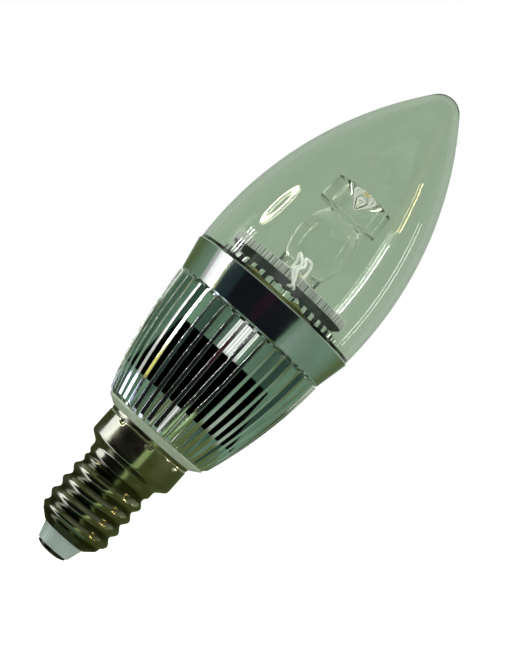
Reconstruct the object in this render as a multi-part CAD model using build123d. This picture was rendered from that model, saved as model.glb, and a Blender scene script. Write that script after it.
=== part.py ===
from build123d import *
import math
import os

# A candle bulb of the LED kind. Sizes are in millimetres.
# Z runs along the bulb's axis, from the flat of the centre contact up to the tip of the cover.

# Clearances
slide_gap = 0.1
press_gap = 0.03
glue_gap = 0.05
wire_gap = 0.15

# Screw cap, size E14
contact_radius = 2.9
contact_flat_radius = 1.6
contact_height = 0.9
rivet_radius = 0.8
rivet_proud = 0.6
insulator_end_radius = 3.25
insulator_cone_length = 2.9
insulator_plug_length = 2.6
shell_wall = 0.3
lip_radius = 4.45
lip_height = 1.4
thread_pitch = 2.822
thread_root_radius = 6.1
thread_crest_radius = 6.88
thread_band_length = 12.1
thread_turns = 6
thread_run_out = 1.0
thread_plain_end = 0.3
thread_start_drop = 3.43
thread_start_angle = 50.0
thread_base_width = 2.5
neck_radius = 6.65
neck_length = 2.0
shoulder_height = 1.3
skirt_radius = 8.48
skirt_length = 5.5
shell_bend_radius = 0.5
stake_count = 8
stake_radius = 0.65
stake_depth = 0.22
stake_below_rim = 1.1
stake_first_angle = 6.0

# White moulded housing
flange_radius = 10.45
flange_low_radius = 8.75
flange_thickness = 1.4
flange_edge = 0.35
boss_length = 11.0
boss_bore = 4.4
sleeve_bore = 7.6
sleeve_length = 25.6
board_ledge_depth = 4.4

# Heat sink, an extruded star bar that is turned and bored
fin_count = 44
fin_band_length = 23.4
fin_low_radius = 10.45
fin_edge_chamfer = 0.65
fin_top_inset = 1.1
fin_belly = 0.705
channel_floor_radius = 10.0
channel_floor_width = 0.5
channel_top_width = 1.6
heat_sink_bore = 8.8
crown_proud = 2.0
crown_chamfer = 0.25
deck_thickness = 6.0
boss_radius = 6.5
boss_height = 1.4
fin_phase = -3.4

# Collar ring
collar_groove = 0.3
collar_low_inset = 0.1
collar_top_step = 0.08
collar_height = 6.3
collar_chamfer = 0.25
collar_ledge_height = 3.1
collar_rim_wall = 0.8

# Clear cover, an ogive with a rounded tip
cover_radius = 16.7
cover_widest_height = 4.8
cover_ogive_radius = 66.5
cover_tip_radius = 3.6
cover_wall = 1.3
cover_neck_length = 3.0

# Sealant between the cover's neck and the heat sink's crown
sealant_width = 1.45
sealant_proud = 0.55
hump_count = 11
hump_radius = 2.6
hump_proud = 0.8

# LED board and emitter
pad_thickness = 0.2
led_board_radius = 12.1
led_board_thickness = 1.4
led_board_mask_step = 0.12
emitter_side = 3.45
emitter_height = 0.8
phosphor_side = 1.5
phosphor_height = 0.12
dome_radius = 1.6

# Light guide
guide_foot_radius = 5.2
guide_foot_height = 0.8
guide_peg_radius = 0.45
guide_peg_circle = 4.6
guide_peg_length = 0.9
guide_peg_count = 3
egg_centre_height = 7.5
egg_half_length = 7.75
egg_radius = 5.28
guide_skirt_radius = 4.1
guide_waist_radius = 3.5
crown_base_height = 13.8
guide_crown_radius = 6.1
guide_crown_top_radius = 5.75
guide_crown_height = 5.1
guide_crown_round = 0.35
funnel_radius = 5.2
funnel_throat_radius = 2.0
funnel_throat_depth = 1.6
funnel_tip_radius = 0.15
funnel_depth = 3.4
dome_pocket_radius = 3.2
dome_pocket_straight = 0.2

# Driver board and its parts; heights are above the foot of the board
driver_board_thickness = 1.0
driver_board_length = 25.0
driver_board_offset = 2.1
rectifier_width = 4.7
rectifier_depth = 2.5
rectifier_length = 3.9
rectifier_height = 6.0
chip_width = 3.9
chip_depth = 1.5
chip_length = 4.9
chip_height = 12.5
pin_count = 4
pin_width = 0.45
pin_reach = 0.9
pin_thickness = 0.25
input_capacitor_radius = 3.1
input_capacitor_length = 9.0
input_capacitor_across = -3.0
input_capacitor_height = 1.0
output_capacitor_radius = 2.4
output_capacitor_length = 7.0
output_capacitor_height = 22.4
can_edge = 0.35
can_groove_place = 1.4
can_groove_depth = 0.3
winding_radius = 2.5
winding_length = 4.6
core_post_radius = 1.3
core_leg_width = 1.5
core_depth = 5.2
core_yoke = 1.5
transformer_height = 11.6
fuse_radius = 1.1
fuse_waist_radius = 0.85
fuse_length = 5.0
fuse_end_length = 1.1
fuse_across = 3.6
fuse_height = 1.0
choke_radius = 1.95
choke_waist_radius = 1.3
choke_length = 5.0
choke_flange = 0.7
choke_across = 3.4
choke_height = 8.6

# Leads
led_wire_radius = 0.24
led_wire_spacing = 1.3
led_wire_hole_circle = 7.05
led_wire_start_height = 21.5
led_wire_bend_drop = 2.9
led_wire_turn = 1.7
solder_radius = 0.75
solder_height = 0.6
solder_circle = 6.4
mains_wire_radius = 0.4
mains_wire_start_height = 4.0
contact_lead_across = 1.0
shell_lead_across = 2.0
shell_lead_fold = 3.0
shell_lead_bend_room = 0.8
bend_share = 0.45
joint_drop = 1.5
loop_middle = 1.1

# Points of the two leads above the deck: across, out from the board's edge, up from the passage
positive_loop = [
    (0.7, 0.55, 0.0),
    (0.4, 0.6, 1.5),
    (-0.5, 0.55, 2.8),
    (0.5, 0.3, 4.1),
    (-0.7, -0.6, 5.2),
    (0.9, -3.4, 5.6),
]
negative_loop = [
    (1.5, 0.0, 0.0),
    (-0.2, 0.0, 1.4),
    (-1.0, -0.05, 2.7),
    (-0.1, -0.4, 4.0),
    (-1.7, -1.4, 5.5),
    (-1.9, -4.0, 5.4),
]

# Heights of the seats, from the centre contact upwards
shell_bottom = contact_height + insulator_cone_length
thread_bottom = shell_bottom + lip_height
thread_top = thread_bottom + thread_band_length
shoulder_bottom = thread_top + neck_length
skirt_bottom = shoulder_bottom + shoulder_height
flange_bottom = skirt_bottom + skirt_length
flange_top = flange_bottom + flange_thickness
fin_top = flange_top + fin_band_length
collar_bottom = fin_top + collar_groove
collar_ledge = collar_bottom + collar_ledge_height
collar_top = collar_bottom + collar_height
crown_top = collar_top + crown_proud
deck_bottom = crown_top - deck_thickness
pad_bottom = crown_top + boss_height
led_board_bottom = pad_bottom + pad_thickness
led_board_top = led_board_bottom + led_board_thickness
board_ledge = flange_top - board_ledge_depth
boss_bottom = shoulder_bottom - boss_length

# Radii that follow from the fits
boss_outer_radius = thread_root_radius - shell_wall - slide_gap
fin_top_radius = cover_radius - fin_top_inset
fin_middle_radius = fin_low_radius + fin_belly * (fin_top_radius - fin_low_radius)
collar_low_radius = fin_top_radius - collar_low_inset
collar_top_radius = cover_radius + collar_top_step
cover_seat_radius = collar_top_radius - collar_rim_wall
cover_neck_radius = cover_seat_radius - glue_gap
cover_neck_bore = cover_neck_radius - cover_wall
collar_bore = cover_neck_bore - glue_gap - sealant_width
crown_radius = collar_bore - press_gap

# Faces of the driver board: parts stand on its roomy side, small ones on the other
board_front = -driver_board_offset + driver_board_thickness / 2
board_back = -driver_board_offset - driver_board_thickness / 2

# The shell's lead lies on the back of the driver board, in one upright plane with its groove
shell_lead_depth = board_back - mains_wire_radius - press_gap
shell_lead_angle = math.degrees(math.atan2(shell_lead_depth, shell_lead_across))
shell_lead_circle = math.hypot(shell_lead_across, shell_lead_depth)
rivet_top = shell_bottom + insulator_plug_length + rivet_proud


# Solids that stand on the middle of their underside
base_aligned = (Align.CENTER, Align.CENTER, Align.MIN)


def turned(*edges):
    # Solid of revolution about Z; the outline is drawn with radius and height.
    return revolve(Plane.XZ * make_face(Curve() + list(edges)), Axis.Z)


def turned_polygon(*points):
    return turned(Polyline(*points, close=True))


def upright_block(size, low_centre):
    # Block given by its sizes along X, Y and Z and the middle of its underside.
    return Pos(*low_centre) * Box(*size, align=base_aligned)


def half_ball(radius):
    return Sphere(radius, arc_size1=0, align=base_aligned)


def easy_bends(points):
    # The largest radius for each corner that leaves a short straight on the shorter of its two runs.
    corners = [Vector(point) for point in points]
    radii = []
    for before, corner, after in zip(corners, corners[1:], corners[2:]):
        arriving = corner - before
        leaving = after - corner
        half_turn = math.radians(arriving.get_angle(leaving)) / 2
        radii.append(bend_share * min(arriving.length, leaving.length) / math.tan(half_turn))
    return radii


def wire(points, radius):
    path = FilletPolyline(*points, radius=easy_bends(points))
    section = Plane(origin=path @ 0, z_dir=path % 0) * Circle(radius)
    return sweep(section, path=path)


def centre_contact():
    edge = contact_height / 2
    flank = ThreePointArc(
        (contact_flat_radius, 0),
        ((contact_flat_radius + contact_radius) / 2, edge / 3),
        (contact_radius, edge),
    )
    outline = Polyline(
        (contact_radius, edge),
        (contact_radius, contact_height),
        (rivet_radius, contact_height),
        (rivet_radius, rivet_top),
        (0, rivet_top),
        (0, 0),
        (contact_flat_radius, 0),
    )
    return turned(flank, outline)


def lip_inside(radius):
    # Height of the inner face of the shell's lip at a radius.
    slope = lip_height / (thread_root_radius - lip_radius)
    return shell_bottom + (radius - lip_radius) * slope + shell_wall * math.hypot(1, slope)


def cap_insulator():
    bore = rivet_radius + press_gap
    plug_radius = thread_root_radius - shell_wall - slide_gap
    lip_length = math.hypot(lip_height, thread_root_radius - lip_radius)
    throat = lip_radius - shell_wall * lip_height / lip_length - slide_gap
    return turned_polygon(
        (bore, contact_height),
        (insulator_end_radius, contact_height),
        (throat, shell_bottom),
        (throat, lip_inside(throat) + slide_gap),
        (plug_radius - shell_bend_radius, lip_inside(plug_radius - shell_bend_radius) + slide_gap),
        (plug_radius, lip_inside(plug_radius) + slide_gap + shell_bend_radius),
        (plug_radius, shell_bottom + insulator_plug_length),
        (bore, shell_bottom + insulator_plug_length),
    )


def threaded_band(low, high):
    # Plain stretch of the sheet with the rolled right-hand ridge, which runs out short of both ends.
    sink = shell_wall / 2
    path = Helix(thread_pitch, thread_turns * thread_pitch, thread_root_radius)
    half = thread_base_width / 2
    crown = ThreePointArc(
        (thread_root_radius - sink, -half),
        (thread_crest_radius, 0),
        (thread_root_radius - sink, half),
    )
    base = Line((thread_root_radius - sink, half), (thread_root_radius - sink, -half))
    section = Plane.XZ * make_face(Curve() + [crown, base])
    start = Pos(0, 0, thread_bottom - thread_start_drop) * Rot(0, 0, thread_start_angle)
    ridge = start * sweep(section, path=path, is_frenet=True)
    first = low + thread_plain_end
    last = high - thread_plain_end
    inside = thread_root_radius - 2 * shell_wall
    buried = thread_root_radius - sink / 2
    outside = thread_crest_radius + shell_wall
    envelope = turned_polygon(
        (inside, first - shell_wall),
        (buried, first),
        (outside, first + thread_run_out),
        (outside, last - thread_run_out),
        (buried, last),
        (inside, last + shell_wall),
    )
    tube = turned_polygon(
        (thread_root_radius - shell_wall, low),
        (thread_root_radius, low),
        (thread_root_radius, high),
        (thread_root_radius - shell_wall, high),
    )
    return tube + (ridge & envelope)


def cap_shell():
    outline = FilletPolyline(
        (lip_radius, shell_bottom),
        (thread_root_radius, thread_bottom),
        (thread_root_radius, thread_top),
        (neck_radius, thread_top + shell_bend_radius),
        (neck_radius, shoulder_bottom),
        (skirt_radius, skirt_bottom),
        (skirt_radius, flange_bottom),
        radius=[shell_bend_radius, shell_bend_radius / 2, shell_bend_radius / 2]
        + [shell_bend_radius] * 2,
    )
    sheet = make_face(offset(outline, amount=shell_wall, side=Side.LEFT))
    low = thread_bottom + shell_bend_radius
    high = thread_top - shell_bend_radius
    straight = Pos(0, 0, low) * Cylinder(skirt_radius, high - low, align=base_aligned)
    shell = revolve(Plane.XZ * sheet, Axis.Z) - straight + threaded_band(low, high)
    punch = Pos(skirt_radius + stake_radius - stake_depth, 0, flange_bottom - stake_below_rim)
    punch = Rot(0, 0, stake_first_angle) * punch * Sphere(stake_radius)
    return shell - PolarLocations(0, stake_count) * punch


def base_housing():
    skirt_fit = skirt_radius - shell_wall - slide_gap
    shoulder_fit = skirt_bottom + shell_wall + slide_gap
    sleeve_radius = heat_sink_bore - slide_gap
    sleeve_top = flange_top + sleeve_length
    body = turned_polygon(
        (boss_bore, boss_bottom),
        (boss_outer_radius, boss_bottom),
        (boss_outer_radius, shoulder_bottom),
        (skirt_fit, shoulder_fit),
        (skirt_fit, flange_bottom),
        (flange_low_radius, flange_bottom),
        (flange_radius, flange_top - flange_edge),
        (flange_radius, flange_top),
        (sleeve_radius, flange_top),
        (sleeve_radius, sleeve_top),
        (sleeve_bore, sleeve_top),
        (sleeve_bore, board_ledge),
        (boss_bore, board_ledge),
    )
    lead_width = 2 * (mains_wire_radius + wire_gap)
    groove = Box(
        boss_outer_radius,
        lead_width,
        shell_lead_fold + wire_gap,
        align=(Align.MIN, Align.CENTER, Align.MIN),
    )
    groove = Pos(boss_outer_radius - lead_width, 0, boss_bottom) * groove
    return body - Rot(0, 0, shell_lead_angle) * groove


def star_bar(length):
    # Extruded bar section: a round with wedge shaped channels between tapered fins.
    reach = fin_top_radius + collar_groove
    widening = (channel_top_width - channel_floor_width) / (fin_top_radius - channel_floor_radius)
    floor_half = channel_floor_width / 2
    reach_half = floor_half + widening * (reach - channel_floor_radius) / 2
    channel = make_face(
        Polyline(
            (channel_floor_radius, -floor_half),
            (reach, -reach_half),
            (reach, reach_half),
            (channel_floor_radius, floor_half),
            close=True,
        )
    )
    first = 90 + fin_phase + 180 / fin_count
    section = Circle(reach - collar_groove / 2) - PolarLocations(0, fin_count, first) * channel
    return extrude(section, amount=length)


def heat_sink():
    fin_middle = flange_top + fin_band_length / 2
    barrel_low = flange_top + fin_edge_chamfer
    barrel = ThreePointArc(
        (fin_low_radius + fin_edge_chamfer, barrel_low),
        (fin_middle_radius, fin_middle),
        (fin_top_radius, fin_top),
    )
    outline = Polyline(
        (fin_top_radius, fin_top),
        (crown_radius, fin_top),
        (crown_radius, crown_top - crown_chamfer),
        (crown_radius - crown_chamfer, crown_top),
        (boss_radius, crown_top),
        (boss_radius, pad_bottom),
        (0, pad_bottom),
        (0, deck_bottom),
        (heat_sink_bore, deck_bottom),
        (heat_sink_bore, flange_top),
        (fin_low_radius, flange_top),
        (fin_low_radius + fin_edge_chamfer, barrel_low),
    )
    body = turned(barrel, outline)
    body = body & Pos(0, 0, flange_top) * star_bar(pad_bottom - flange_top)
    hole = Cylinder(led_wire_radius + wire_gap, deck_thickness, align=base_aligned)
    for side in (-1, 1):
        body -= Pos(side * led_wire_spacing / 2, -led_wire_hole_circle, deck_bottom) * hole
    return body


def collar_ring():
    return turned_polygon(
        (collar_bore, collar_bottom),
        (collar_low_radius - collar_chamfer, collar_bottom),
        (collar_low_radius, collar_bottom + collar_chamfer),
        (collar_top_radius, collar_top - collar_chamfer),
        (collar_top_radius - collar_chamfer, collar_top),
        (cover_seat_radius, collar_top),
        (cover_seat_radius, collar_ledge),
        (collar_bore, collar_ledge),
    )


def ogive_radius(height, inset):
    # Radius of the ogive, or of its inner face with an inset, at a height.
    rise = height - collar_top - cover_widest_height
    return cover_radius - cover_ogive_radius + math.sqrt((cover_ogive_radius - inset) ** 2 - rise**2)


def ogive(inset, low):
    # Outline from a low height to the axis: a long arc that runs into a rounded tip.
    widest = collar_top + cover_widest_height
    centre = cover_radius - cover_ogive_radius
    tip_reach = cover_ogive_radius - cover_tip_radius
    tip_centre = widest + math.sqrt(tip_reach**2 - centre**2)
    tip_round = cover_tip_radius - inset
    lean = math.atan2(tip_centre - widest, -centre)
    meeting = (tip_round * math.cos(lean), tip_centre + tip_round * math.sin(lean))
    half_lean = (math.pi / 2 + lean) / 2
    middle = (tip_round * math.cos(half_lean), tip_centre + tip_round * math.sin(half_lean))
    half_way = (low + meeting[1]) / 2
    body = ThreePointArc(
        (ogive_radius(low, inset), low),
        (ogive_radius(half_way, inset), half_way),
        meeting,
    )
    tip = ThreePointArc(meeting, middle, (0, tip_centre + tip_round))
    return body, tip


def clear_cover():
    neck_bottom = collar_top - cover_neck_length
    seat_inside = collar_top + cover_wall / 2
    outer, outer_tip = ogive(0, collar_top)
    inner, inner_tip = ogive(cover_wall, seat_inside)
    foot = Polyline(
        inner @ 0,
        (cover_neck_bore, collar_top),
        (cover_neck_bore, neck_bottom),
        (cover_neck_radius, neck_bottom),
        (cover_neck_radius, collar_top),
        outer @ 0,
    )
    axis = Line(inner_tip @ 1, outer_tip @ 1)
    return turned(outer, outer_tip, axis, inner_tip, inner, foot)


def cover_sealant():
    inside = collar_bore
    outside = collar_bore + sealant_width
    top = collar_top + sealant_proud
    crest = ThreePointArc((outside, collar_top), ((inside + outside) / 2, top), (inside, collar_top))
    walls = Polyline(
        (inside, collar_top),
        (inside, collar_ledge),
        (outside, collar_ledge),
        (outside, collar_top),
    )
    bead = turned(crest, walls)
    middle = (inside + outside) / 2
    hump = Pos(middle, 0, collar_top + hump_proud - hump_radius) * Sphere(hump_radius)
    room = turned_polygon(
        (inside, collar_ledge),
        (outside, collar_ledge),
        (outside, crown_top),
        (inside, crown_top),
    )
    humps = PolarLocations(0, hump_count) * hump
    return bead + [lump & room for lump in humps]


def thermal_pad():
    return Pos(0, 0, pad_bottom) * Cylinder(boss_radius, pad_thickness, align=base_aligned)


def led_board():
    core = turned_polygon(
        (0, led_board_bottom),
        (led_board_radius, led_board_bottom),
        (led_board_radius, led_board_top - led_board_mask_step),
        (led_board_radius - led_board_mask_step, led_board_top),
        (0, led_board_top),
    )
    hole = Cylinder(guide_peg_radius + press_gap, led_board_thickness, align=base_aligned)
    hole = Pos(guide_peg_circle, 0, led_board_bottom) * hole
    return core - PolarLocations(0, guide_peg_count, 90) * hole


def led_emitter():
    base = upright_block((emitter_side, emitter_side, emitter_height), (0, 0, led_board_top))
    return chamfer(base.edges().filter_by(Axis.Z), emitter_height / 4)


def led_phosphor():
    size = (phosphor_side, phosphor_side, phosphor_height)
    return upright_block(size, (0, 0, led_board_top + emitter_height))


def led_dome():
    low = led_board_top + emitter_height
    return Pos(0, 0, low) * half_ball(dome_radius) - led_phosphor()


def light_guide():
    floor = led_board_top
    egg_centre = floor + egg_centre_height
    foot_top = floor + guide_foot_height
    crown_low = floor + crown_base_height
    crown_high = crown_low + guide_crown_height

    def egg_point(height):
        share = (height - egg_centre) / egg_half_length
        return (egg_radius * math.sqrt(1 - share**2), height)

    def egg_reach(radius):
        return egg_half_length * math.sqrt(1 - (radius / egg_radius) ** 2)

    skirt = (guide_skirt_radius, egg_centre - egg_reach(guide_skirt_radius))
    waist = (guide_waist_radius, egg_centre + egg_reach(guide_waist_radius))
    side = Spline(
        skirt,
        egg_point((skirt[1] + egg_centre) / 2),
        (egg_radius, egg_centre),
        egg_point((egg_centre + waist[1]) / 2),
        waist,
    )
    crown = Polyline(
        waist,
        (guide_waist_radius, crown_low),
        (guide_crown_radius - guide_crown_round, crown_low),
        (guide_crown_radius, crown_low + guide_crown_round),
        (guide_crown_top_radius, crown_high),
        (funnel_radius, crown_high),
    )
    trumpet = ThreePointArc(
        (funnel_radius, crown_high),
        (funnel_throat_radius, crown_high - funnel_throat_depth),
        (funnel_tip_radius, crown_high - funnel_depth),
    )
    foot = Polyline(
        (funnel_tip_radius, crown_high - funnel_depth),
        (0, crown_high - funnel_depth),
        (0, floor),
        (guide_foot_radius, floor),
        (guide_foot_radius, foot_top),
        (guide_skirt_radius, foot_top),
        skirt,
    )
    body = turned(side, crown, trumpet, foot)
    straight = Cylinder(dome_pocket_radius, dome_pocket_straight, align=base_aligned)
    pocket = straight + Pos(0, 0, dome_pocket_straight) * half_ball(dome_pocket_radius)
    body -= Pos(0, 0, floor) * pocket
    peg = Cylinder(guide_peg_radius, guide_peg_length, align=(Align.CENTER, Align.CENTER, Align.MAX))
    return body + PolarLocations(0, guide_peg_count, 90) * (Pos(guide_peg_circle, 0, floor) * peg)


def solder_joints():
    joint = scale(half_ball(solder_radius), by=(1, 1, solder_height / solder_radius))
    sides = (-led_wire_spacing, led_wire_spacing)
    return Compound([Pos(side, -solder_circle, led_board_top) * joint for side in sides])


def led_wire(loop):
    # From the back of the driver board through the deck, round the LED board's edge, over to its joint.
    hole_side = math.copysign(led_wire_spacing / 2, loop[0][0] - loop_middle)
    joint_side = math.copysign(led_wire_spacing, loop[-1][0])
    start = board_back - led_wire_radius - press_gap
    passage = (crown_top + led_board_bottom) / 2
    above_joint = led_board_top + solder_height
    low = [
        (hole_side, start, board_ledge + led_wire_start_height),
        (hole_side, start, board_ledge + driver_board_length),
        (hole_side, -led_wire_hole_circle, deck_bottom - led_wire_bend_drop),
        (hole_side, -led_wire_hole_circle, passage),
        (hole_side, -led_wire_hole_circle - led_wire_turn, passage),
    ]
    edge = -led_board_radius - led_wire_radius - wire_gap
    over = [(across, edge - out, passage + rise) for across, out, rise in loop]
    end = [
        (joint_side, -solder_circle, above_joint + joint_drop),
        (joint_side, -solder_circle, above_joint + press_gap),
    ]
    return wire(low + over + end, led_wire_radius)


def driver_board():
    half_width = math.sqrt(sleeve_bore**2 - board_back**2) - slide_gap
    size = (2 * half_width, driver_board_thickness, driver_board_length)
    return upright_block(size, (0, -driver_board_offset, board_ledge))


def bridge_rectifier():
    low = (0, board_back - press_gap - rectifier_depth / 2, board_ledge + rectifier_height)
    body = upright_block((rectifier_width, rectifier_depth, rectifier_length), low)
    return body + flat_pins(rectifier_width, rectifier_length, rectifier_height, 2)


def driver_chip():
    low = (0, board_back - press_gap - chip_depth / 2, board_ledge + chip_height)
    body = upright_block((chip_width, chip_depth, chip_length), low)
    return body + flat_pins(chip_width, chip_length, chip_height, pin_count)


def flat_pins(width, length, height, count):
    # Two rows of flat pins on the back of the driver board, one row each side of a body.
    span = width + 2 * pin_reach
    depth = board_back - press_gap - pin_thickness / 2
    pitch = length / count
    heights = [board_ledge + height + (index + 0.5) * pitch - pin_width / 2 for index in range(count)]
    return [upright_block((span, pin_thickness, pin_width), (0, depth, level)) for level in heights]


def capacitor_can(radius, length):
    # Rolled can, upright, with a crimped groove near its foot.
    groove_low = can_groove_place - can_groove_depth
    groove_high = can_groove_place + can_groove_depth
    groove = ThreePointArc(
        (radius, groove_low),
        (radius - can_groove_depth, can_groove_place),
        (radius, groove_high),
    )
    outline = Polyline(
        (radius, groove_high),
        (radius, length - can_edge),
        (radius - can_edge, length),
        (0, length),
        (0, 0),
        (radius - can_edge, 0),
        (radius, can_edge),
        (radius, groove_low),
    )
    return turned(groove, outline)


def input_capacitor():
    place = (
        input_capacitor_across,
        board_front + press_gap + input_capacitor_radius,
        board_ledge + input_capacitor_height,
    )
    return Pos(*place) * capacitor_can(input_capacitor_radius, input_capacitor_length)


def output_capacitor():
    place = (
        -output_capacitor_length / 2,
        board_front + press_gap + output_capacitor_radius,
        board_ledge + output_capacitor_height,
    )
    can = capacitor_can(output_capacitor_radius, output_capacitor_length)
    return Pos(*place) * Rot(0, 90, 0) * can


def transformer_place():
    depth = board_front + press_gap + core_depth / 2
    return Pos(0, depth, board_ledge + transformer_height + core_yoke + slide_gap)


def transformer_winding():
    bore = core_post_radius + slide_gap
    return transformer_place() * turned_polygon(
        (bore, 0), (winding_radius, 0), (winding_radius, winding_length), (bore, winding_length)
    )


def transformer_core():
    window = winding_radius + slide_gap
    window_length = winding_length + 2 * slide_gap
    width = 2 * (window + core_leg_width)
    outside = upright_block((width, core_depth, window_length + 2 * core_yoke), (0, 0, -core_yoke))
    inside = upright_block((2 * window, core_depth, window_length), (0, 0, 0))
    post = Cylinder(core_post_radius, window_length, align=base_aligned)
    return transformer_place() * Pos(0, 0, -slide_gap) * (outside - inside + post)


def fuse_resistor():
    ends = fuse_length - fuse_end_length
    body = turned_polygon(
        (0, 0),
        (fuse_radius, 0),
        (fuse_radius, fuse_end_length),
        (fuse_waist_radius, fuse_end_length),
        (fuse_waist_radius, ends),
        (fuse_radius, ends),
        (fuse_radius, fuse_length),
        (0, fuse_length),
    )
    return Pos(fuse_across, board_front + press_gap + fuse_radius, board_ledge + fuse_height) * body


def filter_choke():
    top = choke_length - choke_flange
    body = turned_polygon(
        (0, 0),
        (choke_radius, 0),
        (choke_radius, choke_flange),
        (choke_waist_radius, choke_flange),
        (choke_waist_radius, top),
        (choke_radius, top),
        (choke_radius, choke_length),
        (0, choke_length),
    )
    return Pos(choke_across, board_front + press_gap, board_ledge + choke_height) * Rot(-90, 0, 0) * body


def contact_lead():
    depth = board_front + mains_wire_radius + press_gap
    bend_low = (rivet_top + board_ledge) / 2
    bend_high = (bend_low + board_ledge) / 2
    points = [
        (contact_lead_across, depth, board_ledge + mains_wire_start_height),
        (contact_lead_across, depth, bend_high),
        (0, 0, bend_low),
        (0, 0, rivet_top),
    ]
    return wire(points, mains_wire_radius)


def shell_lead():
    # Down through the boss, round its lower edge and up in the groove against the shell.
    turn_level = boss_bottom - shell_lead_bend_room
    groove_circle = boss_outer_radius - mains_wire_radius - wire_gap / 2
    points = [
        (shell_lead_circle, 0, board_ledge + mains_wire_start_height),
        (shell_lead_circle, 0, turn_level),
        (groove_circle, 0, turn_level),
        (groove_circle, 0, boss_bottom + shell_lead_fold),
    ]
    return Rot(0, 0, shell_lead_angle) * wire(points, mains_wire_radius)


def main():
    os.makedirs("parts", exist_ok=True)
    pieces = {
        "centre_contact": centre_contact(),
        "cap_insulator": cap_insulator(),
        "cap_shell": cap_shell(),
        "base_housing": base_housing(),
        "heat_sink": heat_sink(),
        "collar_ring": collar_ring(),
        "clear_cover": clear_cover(),
        "cover_sealant": cover_sealant(),
        "thermal_pad": thermal_pad(),
        "led_board": led_board(),
        "led_emitter": led_emitter(),
        "led_phosphor": led_phosphor(),
        "led_dome": led_dome(),
        "light_guide": light_guide(),
        "solder_joints": solder_joints(),
        "led_wire_positive": led_wire(positive_loop),
        "led_wire_negative": led_wire(negative_loop),
        "driver_board": driver_board(),
        "bridge_rectifier": bridge_rectifier(),
        "driver_chip": driver_chip(),
        "input_capacitor": input_capacitor(),
        "output_capacitor": output_capacitor(),
        "transformer_core": transformer_core(),
        "transformer_winding": transformer_winding(),
        "fuse_resistor": fuse_resistor(),
        "filter_choke": filter_choke(),
        "contact_lead": contact_lead(),
        "shell_lead": shell_lead(),
    }
    for name, piece in pieces.items():
        export_step(piece, f"parts/{name}.step")


main()
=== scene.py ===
import math
import bmesh
import bpy
from mathutils import Matrix, Vector, noise


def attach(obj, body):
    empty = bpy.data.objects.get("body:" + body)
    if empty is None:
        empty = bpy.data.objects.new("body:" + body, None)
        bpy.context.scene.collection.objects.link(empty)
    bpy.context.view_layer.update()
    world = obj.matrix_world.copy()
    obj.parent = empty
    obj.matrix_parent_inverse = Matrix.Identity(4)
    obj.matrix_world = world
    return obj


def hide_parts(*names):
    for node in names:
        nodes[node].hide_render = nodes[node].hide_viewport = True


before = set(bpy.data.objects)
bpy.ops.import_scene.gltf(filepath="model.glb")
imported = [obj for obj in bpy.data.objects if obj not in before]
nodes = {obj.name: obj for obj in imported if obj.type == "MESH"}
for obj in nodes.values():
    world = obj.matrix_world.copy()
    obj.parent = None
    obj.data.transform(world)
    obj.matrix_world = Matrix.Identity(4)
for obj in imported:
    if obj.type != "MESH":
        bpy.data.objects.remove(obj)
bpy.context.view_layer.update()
mm = 0.001
print("frame loaded with", len(nodes), "nodes")


# small helpers for node trees

def addNode(tree, kind, values=None, links=None, **settings):
    node = tree.nodes.new(kind)
    for key, value in settings.items():
        setattr(node, key, value)
    for key, value in (values or {}).items():
        node.inputs[key].default_value = value
    for key, source in (links or {}).items():
        tree.links.new(source, node.inputs[key])
    return node


def mathNode(tree, operation, first, second=None):
    node = tree.nodes.new("ShaderNodeMath")
    node.operation = operation
    for socket, value in zip(node.inputs, (first, second)):
        if isinstance(value, (int, float)):
            socket.default_value = value
        elif value is not None:
            tree.links.new(value, socket)
    return node.outputs[0]


def mixColour(tree, factor, first, second):
    node = addNode(tree, "ShaderNodeMix", data_type="RGBA")
    factorIn, firstIn, secondIn = node.inputs[0], node.inputs[6], node.inputs[7]
    for socket, value in ((factorIn, factor), (firstIn, first), (secondIn, second)):
        if isinstance(value, tuple):
            socket.default_value = rgba(value)
        elif isinstance(value, (int, float)):
            socket.default_value = value
        else:
            tree.links.new(value, socket)
    return node.outputs[2]


def mixShaders(tree, share, first, second):
    return addNode(tree, "ShaderNodeMixShader", None, {0: share, 1: first, 2: second}).outputs[0]


def noiseNode(tree, values, links, **settings):
    return addNode(tree, "ShaderNodeTexNoise", values, links, **settings).outputs[0]


def spread(tree, value, low, high):
    return addNode(tree, "ShaderNodeMapRange", {"From Min": low, "From Max": high}, {"Value": value}).outputs[0]


def between(tree, value, low, high):
    above = mathNode(tree, "GREATER_THAN", value, low)
    return mathNode(tree, "MULTIPLY", above, mathNode(tree, "LESS_THAN", value, high))


def objectPlace(tree):
    place = addNode(tree, "ShaderNodeTexCoord").outputs["Object"]
    return addNode(tree, "ShaderNodeSeparateXYZ", None, {"Vector": place}).outputs


def facingUp(tree):
    facing = addNode(tree, "ShaderNodeNewGeometry").outputs["True Normal"]
    return addNode(tree, "ShaderNodeSeparateXYZ", None, {"Vector": facing}).outputs["Z"]


def axisDistance(tree):
    x, y = objectPlace(tree)[:2]
    square = mathNode(tree, "ADD", mathNode(tree, "MULTIPLY", x, x), mathNode(tree, "MULTIPLY", y, y))
    return mathNode(tree, "SQRT", square)


def axisAngle(tree):
    # zero at -Y, with the seam at +Y
    x, y = objectPlace(tree)[:2]
    return mathNode(tree, "ARCTAN2", x, mathNode(tree, "MULTIPLY", y, -1.0))


def bumpNormal(tree, strength, depth, height, normal=None):
    links = {"Height": height}
    if normal is not None:
        links["Normal"] = normal
    return addNode(tree, "ShaderNodeBump", {"Strength": strength, "Distance": depth * mm}, links).outputs[0]


def rgba(colour):
    return (*colour, 1.0)


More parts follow.
